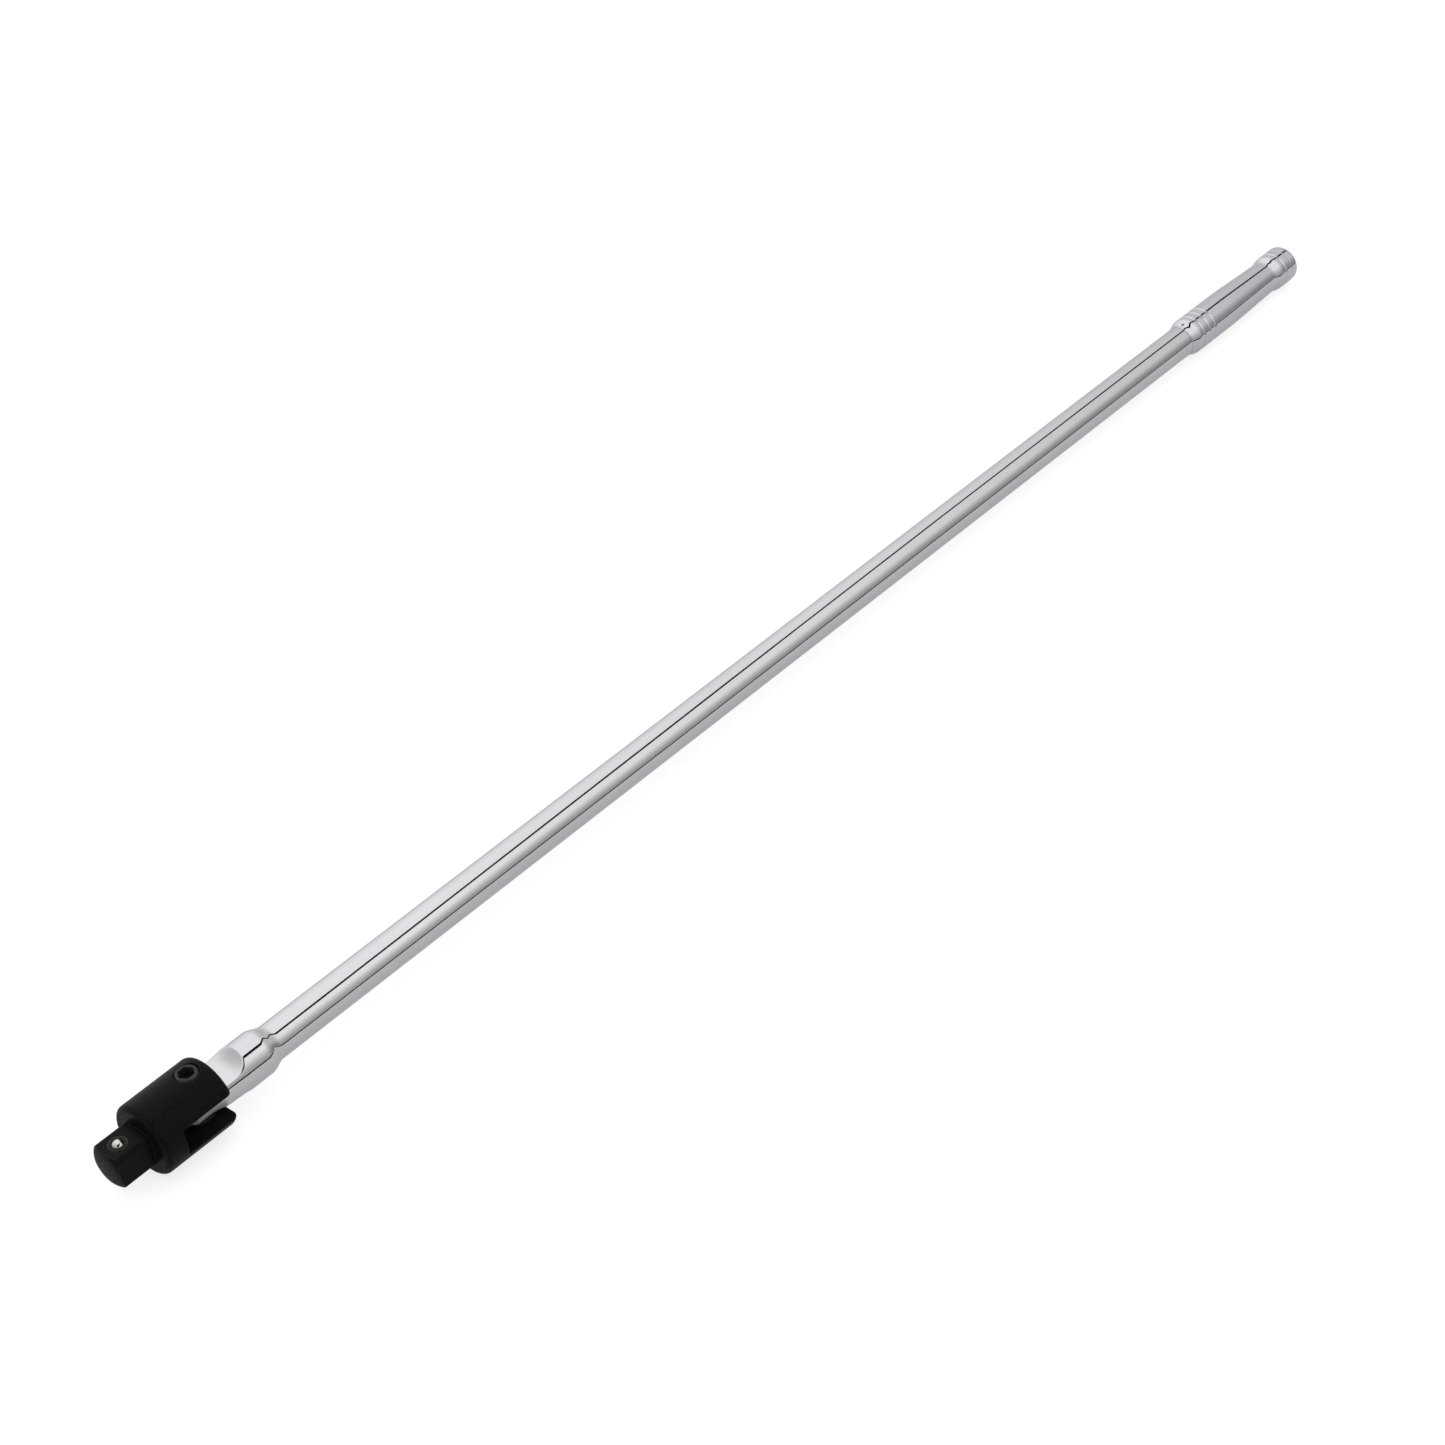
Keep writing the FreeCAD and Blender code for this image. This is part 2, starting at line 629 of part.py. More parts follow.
# ---------------------------------------------------------------- build, check and write

parts = [
    make_drive_head(),
    make_detent_ball(),
    make_detent_spring(),
    make_pivot_screw(),
    make_lock_pellet(),
    make_friction_washer("friction_washer_upper", "Sizes.slot_half - Sizes.washer_thick"),
    make_friction_washer("friction_washer_lower", "-Sizes.slot_half"),
    make_bar_shank(),
    make_handle_sleeve(),
    make_handle_pin(),
    make_end_plug(),
]
doc.recompute()

failed = [item.Label for item in doc.Objects
          if "Invalid" in item.State or "Error" in item.State]
if failed:
    raise RuntimeError("these objects did not build: %s" % ", ".join(failed))
for part in parts:
    if part.Shape.isNull() or not part.Shape.isValid() or part.Shape.Volume <= 0:
        raise RuntimeError("%s has no sound shape" % part.Label)

os.makedirs("parts", exist_ok=True)
for part in parts:
    part.Shape.exportStep("parts/%s.step" % part.Label)
    print("%-24s %10.1f mm3" % (part.Label, part.Shape.Volume))
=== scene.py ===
import json
import math

import bmesh
import bpy
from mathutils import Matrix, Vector


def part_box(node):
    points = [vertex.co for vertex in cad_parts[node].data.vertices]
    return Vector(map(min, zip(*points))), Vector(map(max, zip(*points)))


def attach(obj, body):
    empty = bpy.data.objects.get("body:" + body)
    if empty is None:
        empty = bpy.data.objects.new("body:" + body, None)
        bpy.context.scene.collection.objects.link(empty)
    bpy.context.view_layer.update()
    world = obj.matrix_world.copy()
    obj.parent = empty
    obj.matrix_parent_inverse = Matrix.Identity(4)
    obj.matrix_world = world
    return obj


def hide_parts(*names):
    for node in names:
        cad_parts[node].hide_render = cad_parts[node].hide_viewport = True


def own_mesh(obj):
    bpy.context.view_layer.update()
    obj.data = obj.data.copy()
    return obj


# Flex-head breaker bar. Metres, in the CAD's row frame: the origin is the centre of the drive
# shoulder, +X runs back along the bar, and +Z is the pivot screw's axis on its socket's side.

MM = 0.001

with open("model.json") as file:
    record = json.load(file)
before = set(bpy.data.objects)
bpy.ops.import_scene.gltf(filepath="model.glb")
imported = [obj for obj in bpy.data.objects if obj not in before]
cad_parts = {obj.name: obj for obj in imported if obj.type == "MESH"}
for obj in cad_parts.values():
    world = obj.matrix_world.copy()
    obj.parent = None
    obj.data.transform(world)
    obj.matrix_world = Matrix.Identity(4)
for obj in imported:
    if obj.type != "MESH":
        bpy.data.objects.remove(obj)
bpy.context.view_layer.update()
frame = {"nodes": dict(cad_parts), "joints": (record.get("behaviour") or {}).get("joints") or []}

head_low, head_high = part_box("drive_head")
bar_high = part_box("bar_shank")[1]
sleeve_low, sleeve_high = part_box("handle_sleeve")
plug_low, plug_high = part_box("end_plug")
pin_low, pin_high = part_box("handle_pin")
spring_low, spring_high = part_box("detent_spring")
BALL_X = (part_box("detent_ball")[0].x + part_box("detent_ball")[1].x) / 2
joints = {joint["name"]: joint for joint in frame["joints"]}
PIVOT_X = joints["head_flex"]["pos_m"][0]

# ---------------------------------------------------------------- camera

CAMERA_PLACE = Vector((-0.5284, -0.9915, 1.0323))
CAMERA_AIM = Vector((0.4193, 0.0, -0.0178))
CAMERA_ROLL = math.radians(-7.74)
LENS = 77.25          # on the default 36 mm sensor


def make_camera():
    """The camera at the photograph's viewing angle."""
    camera = bpy.data.objects.new("camera", bpy.data.cameras.new("camera"))
    bpy.context.scene.collection.objects.link(camera)
    camera.data.lens = LENS
    camera.data.clip_start = 0.01
    camera.data.clip_end = 50
    camera.location = CAMERA_PLACE
    camera.rotation_euler = (CAMERA_AIM - CAMERA_PLACE).to_track_quat("-Z", "Y").to_euler()
    camera.rotation_euler.rotate_axis("Z", CAMERA_ROLL)
    bpy.context.scene.camera = camera


# ---------------------------------------------------------------- material helpers

ROUGHNESS_SPREAD = (0.7, 1.5)
BEVEL_SAMPLES = 6
EDGE_COSINES = (0.90, 0.995)        # of the angle between the two normals: on an edge, and off it


def new_material(name):
    """A material with one Principled shader; returns it with its node tree and the shader."""
    material = bpy.data.materials.new(name)
    material.use_nodes = True
    tree = material.node_tree
    return material, tree, tree.nodes["Principled BSDF"]


def object_noise(tree, scale, detail=3.0, stretch=(1, 1, 1)):
    """Noise in the object's own metres, stretched per axis. Gives the node's output."""
    place = tree.nodes.new("ShaderNodeTexCoord")
    spread = tree.nodes.new("ShaderNodeMapping")
    spread.inputs["Scale"].default_value = stretch
    noise = tree.nodes.new("ShaderNodeTexNoise")
    noise.inputs["Scale"].default_value = scale
    noise.inputs["Detail"].default_value = detail
    tree.links.new(place.outputs["Object"], spread.inputs["Vector"])
    tree.links.new(spread.outputs["Vector"], noise.inputs["Vector"])
    return noise.outputs["Fac"]


def remap(tree, value, low, high, start=0.3, end=0.7, kind="LINEAR"):
    """value from start..end to low..high."""
    node = tree.nodes.new("ShaderNodeMapRange")
    node.interpolation_type = kind
    node.inputs["From Min"].default_value = start
    node.inputs["From Max"].default_value = end
    node.inputs["To Min"].default_value = low
    node.inputs["To Max"].default_value = high
    tree.links.new(value, node.inputs["Value"])
    return node.outputs["Result"]


def combine(tree, operation, first, second):
    """A Math node on two values, each a number or a node's output."""
    node = tree.nodes.new("ShaderNodeMath")
    node.operation = operation
    for socket, value in zip(node.inputs, (first, second)):
        if isinstance(value, (int, float)):
            socket.default_value = value
        else:
            tree.links.new(value, socket)
    return node.outputs["Value"]


def along_bar(tree):
    """The object's own X, the distance behind the drive shoulder in metres."""
    place = tree.nodes.new("ShaderNodeTexCoord")
    split = tree.nodes.new("ShaderNodeSeparateXYZ")
    tree.links.new(place.outputs["Object"], split.inputs["Vector"])
    return split.outputs["X"]


def blend_colours(tree, factor, first, second):
    """Mix two colours, each a tuple or a node's output."""
    mix = tree.nodes.new("ShaderNodeMix")
    mix.data_type = "RGBA"
    tree.links.new(factor, mix.inputs["Factor"])
    for name, colour in (("A", first), ("B", second)):
        socket = next(s for s in mix.inputs if s.name == name and s.type == "RGBA")
        if isinstance(colour, tuple):
            socket.default_value = (*colour, 1)
        else:
            tree.links.new(colour, socket)
    return next(s for s in mix.outputs if s.type == "RGBA")


def add_bump(tree, height, distance, under=None):
    """A bump of this many metres, on top of another one's normal if there is one under it."""
    bump = tree.nodes.new("ShaderNodeBump")
    bump.inputs["Distance"].default_value = distance
    tree.links.new(height, bump.inputs["Height"])
    if under is not None:
        tree.links.new(under, bump.inputs["Normal"])
    return bump.outputs["Normal"]


def uneven_roughness(tree, noise, roughness):
    """Roughness from somewhat below a value to somewhat above it."""
    low, high = ROUGHNESS_SPREAD
    return remap(tree, noise, roughness * low, roughness * high)


def edge_mask(tree, radius):
    """1 on sharp edges and 0 elsewhere, from how far a rounded normal leaves the true one."""
    bevel = tree.nodes.new("ShaderNodeBevel")
    bevel.samples = BEVEL_SAMPLES
    bevel.inputs["Radius"].default_value = radius
    shape = tree.nodes.new("ShaderNodeNewGeometry")
    dot = tree.nodes.new("ShaderNodeVectorMath")
    dot.operation = "DOT_PRODUCT"
    tree.links.new(bevel.outputs["Normal"], dot.inputs[0])
    tree.links.new(shape.outputs["Normal"], dot.inputs[1])
    edge, flat = EDGE_COSINES
    return remap(tree, dot.outputs["Value"], 1.0, 0.0, start=edge, end=flat)


# ---------------------------------------------------------------- materials

STAKED_RING = (4.1 * MM, 4.9 * MM)  # radii round the ball's axis
STAKED_FADE = 0.3 * MM
STAKED_INSIDE = 0.35                # how far the flat inside the ring is rubbed, as a share
MATT_ROUGHNESS = 0.30
MATT_METALLIC = 0.35
MATT_END = PIVOT_X + 14.5 * MM
MATT_FADE = 4 * MM


def chrome(name, colour, roughness, ripple, matt_before=None):
    """Chrome plate: thin haze, polishing lines round the piece and a slight ripple. It's a pale
    matt where it wasn't polished, before the place matt_before along the bar."""
    material, tree, shader = new_material(name)
    shader.inputs["Metallic"].default_value = 1.0
    tint = object_noise(tree, 60, stretch=(0.3, 1, 1))
    darker = tuple(c * 0.95 for c in colour)
    tree.links.new(blend_colours(tree, tint, darker, colour), shader.inputs["Base Color"])
    haze = object_noise(tree, 220, detail=5)
    rough = uneven_roughness(tree, haze, roughness)
    if matt_before is not None:
        matt = remap(tree, along_bar(tree), 1, 0, start=matt_before - MATT_FADE, end=matt_before,
                     kind="SMOOTHSTEP")
        rough = combine(tree, "ADD", rough, combine(tree, "MULTIPLY", matt, MATT_ROUGHNESS))
        plated = remap(tree, matt, 1, MATT_METALLIC, start=0, end=1)
        tree.links.new(plated, shader.inputs["Metallic"])
    tree.links.new(rough, shader.inputs["Roughness"])
    slow = object_noise(tree, 26, detail=1, stretch=(0.6, 1, 1))
    waved = add_bump(tree, slow, ripple)
    lines = object_noise(tree, 900, detail=2, stretch=(1, 0.04, 0.04))
    tree.links.new(add_bump(tree, lines, 0.002 * MM, under=waved), shader.inputs["Normal"])
    return material


def staked_ring(tree):
    """1 on the ring that the punch left round the detent ball, on the square's upper flat, less
    inside the ring, and 0 elsewhere."""
    place = tree.nodes.new("ShaderNodeTexCoord")
    flatten = tree.nodes.new("ShaderNodeMapping")
    flatten.inputs["Scale"].default_value = (1, 1, 0)
    off = tree.nodes.new("ShaderNodeVectorMath")
    off.operation = "DISTANCE"
    off.inputs[1].default_value = (BALL_X, 0, 0)
    tree.links.new(place.outputs["Object"], flatten.inputs["Vector"])
    tree.links.new(flatten.outputs["Vector"], off.inputs[0])
    split = tree.nodes.new("ShaderNodeSeparateXYZ")
    tree.links.new(place.outputs["Object"], split.inputs["Vector"])
    inner, outer = STAKED_RING
    distance = off.outputs["Value"]
    from_inside = remap(tree, distance, STAKED_INSIDE, 1, start=inner - STAKED_FADE, end=inner)
    from_outside = remap(tree, distance, 1, 0, start=outer, end=outer + STAKED_FADE)
    above = combine(tree, "GREATER_THAN", split.outputs["Z"], 0.0)
    return combine(tree, "MULTIPLY", combine(tree, "MULTIPLY", from_inside, from_outside), above)


def black_forging():
    """Black phosphate on forged steel: dark, mottled, fine-grained, lighter along its sharp
    edges, partly as wear and partly as a painted edge highlight, and lighter where the ball's
    ring was staked."""
    material, tree, shader = new_material("black_phosphate")
    cloud = object_noise(tree, 130, detail=6)
    mottle = object_noise(tree, 620, detail=4)
    base = blend_colours(tree, cloud, (0.0022, 0.0022, 0.0027), (0.0044, 0.0044, 0.0050))
    base = blend_colours(tree, remap(tree, mottle, 0, 0.6, start=0.45, end=0.75), base,
                         (0.0100, 0.0100, 0.0112))
    speck = remap(tree, object_noise(tree, 2600, detail=2), 0.0, 0.6, start=0.58, end=0.72)
    base = blend_colours(tree, speck, base, (0.014, 0.014, 0.015))
    # lighter on sharp edges: partly edge wear, partly a painted highlight along the edges
    base = blend_colours(tree, edge_mask(tree, 0.5 * MM), base, (0.030, 0.030, 0.032))
    base = blend_colours(tree, staked_ring(tree), base, (0.040, 0.039, 0.040))
    tree.links.new(base, shader.inputs["Base Color"])
    shader.inputs["Specular IOR Level"].default_value = 0.07
    grain = object_noise(tree, 1500, detail=4)
    tree.links.new(remap(tree, mottle, 0.32, 0.55), shader.inputs["Roughness"])
    uneven = add_bump(tree, mottle, 0.10 * MM)
    tree.links.new(add_bump(tree, grain, 0.06 * MM, under=uneven), shader.inputs["Normal"])
    return material


def black_screw():
    """Black oxide on a turned screw: smoother and a little glossier than the forging."""
    material, tree, shader = new_material("black_oxide")
    cloud = object_noise(tree, 300, detail=4)
    base = blend_colours(tree, cloud, (0.014, 0.014, 0.015), (0.026, 0.026, 0.027))
    base = blend_colours(tree, edge_mask(tree, 0.3 * MM), base, (0.075, 0.075, 0.077))
    tree.links.new(base, shader.inputs["Base Color"])
    shader.inputs["Specular IOR Level"].default_value = 0.24
    tree.links.new(remap(tree, cloud, 0.28, 0.42), shader.inputs["Roughness"])
    turned = object_noise(tree, 2400, detail=2)
    tree.links.new(add_bump(tree, turned, 0.02 * MM), shader.inputs["Normal"])
    return material


def bright_steel(name, colour, roughness):
    """Bare hardened steel with fine marks."""
    material, tree, shader = new_material(name)
    shader.inputs["Metallic"].default_value = 1.0
    marks = object_noise(tree, 900, detail=5)
    darker = tuple(c * 0.8 for c in colour)
    tree.links.new(blend_colours(tree, marks, darker, colour), shader.inputs["Base Color"])
    tree.links.new(uneven_roughness(tree, marks, roughness), shader.inputs["Roughness"])
    tree.links.new(add_bump(tree, marks, 0.004 * MM), shader.inputs["Normal"])
    return material


def blue_nylon():
    """Dyed nylon, a little uneven."""
    material, tree, shader = new_material("nylon")
    mottle = object_noise(tree, 1800, detail=3)
    base = blend_colours(tree, mottle, (0.13, 0.26, 0.56), (0.18, 0.33, 0.66))
    tree.links.new(base, shader.inputs["Base Color"])
    tree.links.new(remap(tree, mottle, 0.45, 0.6), shader.inputs["Roughness"])
    return material


def give(item, material):
    """Put one material on a piece or CAD node."""
    item.data.materials.clear()
    item.data.materials.append(material)


# ---------------------------------------------------------------- meshes

WELD = 0.001 * MM           # points nearer than this become one
CREASE = 30                 # degrees between two faces that make a sharp edge


def ring_mesh(name, rings, closed_ends=True):
    """A tube skinned over rings that all have as many points, with its ends capped, or joined
    to each other."""
    mesh = bmesh.new()
    rows = [[mesh.verts.new(point) for point in ring] for ring in rings]
    pairs = list(zip(rows, rows[1:]))
    if not closed_ends:
        pairs.append((rows[-1], rows[0]))
    for near, far in pairs:
        for index in range(len(near)):
            after = (index + 1) % len(near)
            mesh.faces.new((near[index], near[after], far[after], far[index]))
    if closed_ends:
        mesh.faces.new(rows[0][::-1])
        mesh.faces.new(rows[-1])
    bmesh.ops.recalc_face_normals(mesh, faces=mesh.faces)
    data = bpy.data.meshes.new(name)
    mesh.to_mesh(data)
    mesh.free()
    for face in data.polygons:
        face.use_smooth = True
    made = bpy.data.objects.new(name, data)
    bpy.context.scene.collection.objects.link(made)
    return made


def steps(start, end, count):
    """count values from start up to, but not including, end."""
    return [start + (end - start) * i / count for i in range(count)]


def lathe(name, profile, segments):
    """Turn a closed outline of (x, radius) about the X axis."""
    angles = steps(0, 2 * math.pi, segments)
    rings = [[(x, radius * math.cos(a), radius * math.sin(a)) for a in angles]
             for x, radius in profile]
    return ring_mesh(name, rings, closed_ends=False)


def s_blend(t):
    """A smooth S from 0 to 1, made of two equal parabolas that meet halfway."""
    return 2 * t * t if t < 0.5 else 1 - 2 * (1 - t) ** 2


def soft_least(first, second, rounding):
    """The smaller of two values, rounded off where they are nearly equal."""
    near = max(rounding - abs(first - second), 0)
    return min(first, second) - near * near / (4 * rounding)


def cut(piece, cutter):
    """Take the cutter's volume out of a piece, weld up the slivers that this leaves, and delete
    the cutter."""
    modifier = piece.modifiers.new("cut", "BOOLEAN")
    modifier.operation = "DIFFERENCE"
    modifier.solver = "EXACT"
    modifier.object = cutter
    depsgraph = bpy.context.evaluated_depsgraph_get()
    changed = bpy.data.meshes.new_from_object(piece.evaluated_get(depsgraph))
    piece.modifiers.clear()
    piece.data = changed
    bpy.data.objects.remove(cutter)
    mesh = bmesh.new()
    mesh.from_mesh(changed)
    bmesh.ops.remove_doubles(mesh, verts=mesh.verts, dist=WELD)
    bmesh.ops.dissolve_degenerate(mesh, dist=WELD, edges=mesh.edges)
    mesh.to_mesh(changed)
    mesh.free()


def upright_cylinder(x, radius, low, high, segments):
    """A round cutter along Z."""
    angles = steps(0, 2 * math.pi, segments)
    rings = [[(x + radius * math.cos(a), radius * math.sin(a), z) for a in angles]
             for z in (low, high)]
    return ring_mesh("cutter", rings)


def sharpen(piece, degrees=CREASE):
    """Smooth shading, but with a crease at every edge that turns by this or more."""
    mesh = bmesh.new()
    mesh.from_mesh(piece.data)
    limit = math.radians(degrees)
    for edge in mesh.edges:
        edge.smooth = len(edge.link_faces) == 2 and edge.calc_face_angle(0) < limit
    for face in mesh.faces:
        face.smooth = True
    mesh.to_mesh(piece.data)
    mesh.free()


# ---------------------------------------------------------------- bar

EYE_RADIUS = 10.0 * MM
TONGUE_HALF = 6.0 * MM
NECK_RADIUS = 12.2 * MM
COLLAR_RADIUS = bar_high.z
ROD_RADIUS = 10.0 * MM
FLARE = (PIVOT_X + 3.0 * MM, PIVOT_X + 14.0 * MM)
COLLAR_START = PIVOT_X + 27.0 * MM
SHOULDER = (PIVOT_X + 40.2 * MM, PIVOT_X + 51.0 * MM)
SCOOP_START = PIVOT_X + 17.3 * MM
SCOOP_RADIUS = 12.0 * MM
LIP_REACH = 9.0 * MM        # length of scoop over which its edge grows to the lip's rounding
BORE_RADIUS = 6.15 * MM
EDGE_ROUND = 0.45 * MM
LIP_ROUND = 4.0 * MM        # where the scoops break out through the collar
TIP_BREAK = 0.5 * MM
FRONT_TURN = math.radians(5)        # how far round from the eye's very front the mesh starts
BAR_SEGMENTS = 432
BORE_SEGMENTS = 128


def turned_radius(x):
    """Radius of the bar's turned outline."""
    if x < FLARE[0]:
        return EYE_RADIUS
    if x < FLARE[1]:
        way = s_blend((x - FLARE[0]) / (FLARE[1] - FLARE[0]))
        return EYE_RADIUS + (NECK_RADIUS - EYE_RADIUS) * way
    if x < COLLAR_START:
        way = (x - FLARE[1]) / (COLLAR_START - FLARE[1])
        return NECK_RADIUS + (COLLAR_RADIUS - NECK_RADIUS) * way
    if x < SHOULDER[0]:
        return COLLAR_RADIUS
    if x < SHOULDER[1]:
        way = s_blend((x - SHOULDER[0]) / (SHOULDER[1] - SHOULDER[0]))
        return COLLAR_RADIUS + (ROD_RADIUS - COLLAR_RADIUS) * way
    return ROD_RADIUS


def flat_height(x):
    """Height of the tongue's flats above the axis, with the round scoop where they run out."""
    along = max(x - SCOOP_START, 0)
    if along >= SCOOP_RADIUS:
        return TONGUE_HALF + SCOOP_RADIUS
    return TONGUE_HALF + SCOOP_RADIUS - math.sqrt(SCOOP_RADIUS ** 2 - along ** 2)


def bar_section(x):
    """The bar's outline at x: the turned circle, less the flats, less the eye's round end."""
    behind = min(x - PIVOT_X, 0)
    half_width = math.sqrt(EYE_RADIUS ** 2 - behind ** 2)
    lip = min(max((x - SCOOP_START) / LIP_REACH, 0), 1)
    rounding = EDGE_ROUND + (LIP_ROUND - EDGE_ROUND) * s_blend(lip)
    ring = []
    for index in range(BAR_SEGMENTS):
        angle = 2 * math.pi * (index + 0.5) / BAR_SEGMENTS
        reach = turned_radius(x)
        reach = soft_least(reach, flat_height(x) / abs(math.sin(angle)), rounding)
        if behind < 0:
            reach = soft_least(reach, half_width / abs(math.cos(angle)), EDGE_ROUND)
        ring.append((x, reach * math.cos(angle), reach * math.sin(angle)))
    return ring


def make_bar():
    """The forged bar, finer than the CAD mesh, with rounded edges where its scoops break out."""
    turns = steps(FRONT_TURN, math.pi / 2, 34)
    stations = [PIVOT_X - EYE_RADIUS * math.cos(turn) for turn in turns]
    stations += steps(PIVOT_X, SCOOP_START, 34)
    stations += steps(SCOOP_START, SCOOP_START + SCOOP_RADIUS, 90)
    stations += steps(SCOOP_START + SCOOP_RADIUS, SHOULDER[0], 8)
    stations += steps(SHOULDER[0], SHOULDER[1], 36)
    stations += steps(SHOULDER[1], bar_high.x, 24)
    stations.append(bar_high.x - TIP_BREAK)
    rings = [bar_section(x) for x in stations]
    shrink = 1 - TIP_BREAK / ROD_RADIUS
    rings.append([(bar_high.x, y * shrink, z * shrink) for x, y, z in rings[-1]])
    bar = ring_mesh("forged_bar", rings)
    clear = 2 * TONGUE_HALF
    cut(bar, upright_cylinder(PIVOT_X, BORE_RADIUS, -clear, clear, BORE_SEGMENTS))
    sharpen(bar)
    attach(bar, "bar")
    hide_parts("bar_shank")
    return bar


# ---------------------------------------------------------------- handle

LIP_RADIUS = 10.15 * MM
GRIP_RADIUS = 12.0 * MM
SHOULDER_LENGTH = 8.5 * MM
RING_FIRST = 11.1 * MM
RING_COUNT = 3
RING_PITCH = 5.8 * MM
RING_HALF = 0.95 * MM
RING_DEEP = 0.35 * MM
TAPER = (41.0 * MM, 57.0 * MM)
TAPER_RADIUS = 11.7 * MM
WAIST_AT = 92.0 * MM
WAIST_RADIUS = 10.5 * MM
KNOB_START = 100.5 * MM
KNOB_RADIUS = 11.9 * MM
KNOB_RING = 103.0 * MM
EDGE_BREAK = 0.5 * MM
TAIL_INSERT = 63.0 * MM
BORE_CONE = 20.0 * MM
WAIST_BORE = 8.7 * MM
PLUG_BORE = 10.0 * MM
PLUG_DEPTH = 9.0 * MM
PLUG_ROUND = 4.0 * MM
PLUG_CROWN = 0.5 * MM
PIN_RADIUS = 1.0 * MM
AXIS_RADIUS = 0.01 * MM     # how near the axis the turned plug comes
HANDLE_SEGMENTS = 256
PIN_SEGMENTS = 40
EDGE_STEPS = 6
DOME_STEPS = 24


def grip_radius(along):
    """Outside radius of the sleeve, by the distance from its front edge."""
    if along < SHOULDER_LENGTH:
        radius = LIP_RADIUS + (GRIP_RADIUS - LIP_RADIUS) * s_blend(along / SHOULDER_LENGTH)
    elif along < TAPER[0]:
        radius = GRIP_RADIUS
    elif along < TAPER[1]:
        way = (along - TAPER[0]) / (TAPER[1] - TAPER[0])
        radius = GRIP_RADIUS - (GRIP_RADIUS - TAPER_RADIUS) * way ** 2
    elif along < WAIST_AT:
        way = (along - TAPER[1]) / (WAIST_AT - TAPER[1])
        radius = TAPER_RADIUS - (TAPER_RADIUS - WAIST_RADIUS) * way
    elif along < KNOB_START:
        way = s_blend((along - WAIST_AT) / (KNOB_START - WAIST_AT))
        radius = WAIST_RADIUS + (KNOB_RADIUS - WAIST_RADIUS) * way
    else:
        radius = KNOB_RADIUS
    grooves = [RING_FIRST + number * RING_PITCH for number in range(RING_COUNT)] + [KNOB_RING]
    for centre in grooves:
        off = (along - centre) / RING_HALF
        if abs(off) < 1:
            radius -= RING_DEEP * (1 - off * off)
    return radius


def make_sleeve():
    """The grip's tube, with the bar's tail and the plug's bore inside it and the pin's hole."""
    start = sleeve_low.x
    length = sleeve_high.x - start
    rings_end = RING_FIRST + RING_COUNT * RING_PITCH
    outside = steps(0, SHOULDER_LENGTH, 40)
    outside += steps(SHOULDER_LENGTH, rings_end, 150)
    outside += steps(rings_end, WAIST_AT, 70)
    outside += steps(WAIST_AT, length - EDGE_BREAK, 110)
    profile = [(start + along, grip_radius(along)) for along in outside]
    for turn in steps(0, math.pi / 2, EDGE_STEPS):
        profile.append((start + length - EDGE_BREAK * (1 - math.sin(turn)),
                        KNOB_RADIUS - EDGE_BREAK * (1 - math.cos(turn))))
    inside = [
        (length, KNOB_RADIUS - EDGE_BREAK),
        (length, PLUG_BORE),
        (length - PLUG_DEPTH - EDGE_BREAK, PLUG_BORE),
        (WAIST_AT, WAIST_BORE),
        (TAIL_INSERT + BORE_CONE, WAIST_BORE),
        (TAIL_INSERT, ROD_RADIUS),
        (0, ROD_RADIUS),
    ]
    profile += [(start + along, radius) for along, radius in inside]
    sleeve = lathe("grip_sleeve", profile, HANDLE_SEGMENTS)
    pin_x = (pin_low.x + pin_high.x) / 2
    outside_z = GRIP_RADIUS + PIN_RADIUS
    cut(sleeve, upright_cylinder(pin_x, PIN_RADIUS, pin_low.z, outside_z, PIN_SEGMENTS))
    sharpen(sleeve)
    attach(sleeve, "bar")
    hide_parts("handle_sleeve")
    return sleeve


def make_plug():
    """The plug that closes the knob, with its domed end."""
    joint = sleeve_high.x
    end = plug_high.x
    flat_edge = KNOB_RADIUS - PLUG_ROUND
    profile = [
        (plug_low.x, AXIS_RADIUS),
        (plug_low.x, PLUG_BORE - EDGE_BREAK),
        (plug_low.x + EDGE_BREAK, PLUG_BORE),
        (joint, PLUG_BORE),
    ]
    for turn in steps(0, math.pi / 2, EDGE_STEPS):
        profile.append((joint + EDGE_BREAK * (1 - math.cos(turn)),
                        KNOB_RADIUS - EDGE_BREAK * (1 - math.sin(turn))))
    round_start = end - PLUG_CROWN - PLUG_ROUND
    profile += [(x, KNOB_RADIUS) for x in steps(joint + EDGE_BREAK, round_start, 6)]
    for turn in steps(0, math.pi / 2, DOME_STEPS):
        profile.append((round_start + PLUG_ROUND * math.sin(turn),
                        flat_edge + PLUG_ROUND * math.cos(turn)))
    for way in steps(0, 1, DOME_STEPS):
        radius = flat_edge * (1 - way)
        profile.append((end - PLUG_CROWN * (radius / flat_edge) ** 2, radius))
    profile.append((end, AXIS_RADIUS))
    plug = lathe("grip_end_plug", profile, HANDLE_SEGMENTS)
    sharpen(plug)
    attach(plug, "bar")
    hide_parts("end_plug")
    return plug


# ---------------------------------------------------------------- detent spring

COIL_RADIUS = 2.4 * MM
WIRE_RADIUS = 0.35 * MM
COIL_PITCH = 1.3 * MM
COIL_STEPS = 48             # places along each turn
WIRE_SEGMENTS = 16
WIRE_CREASE = 40


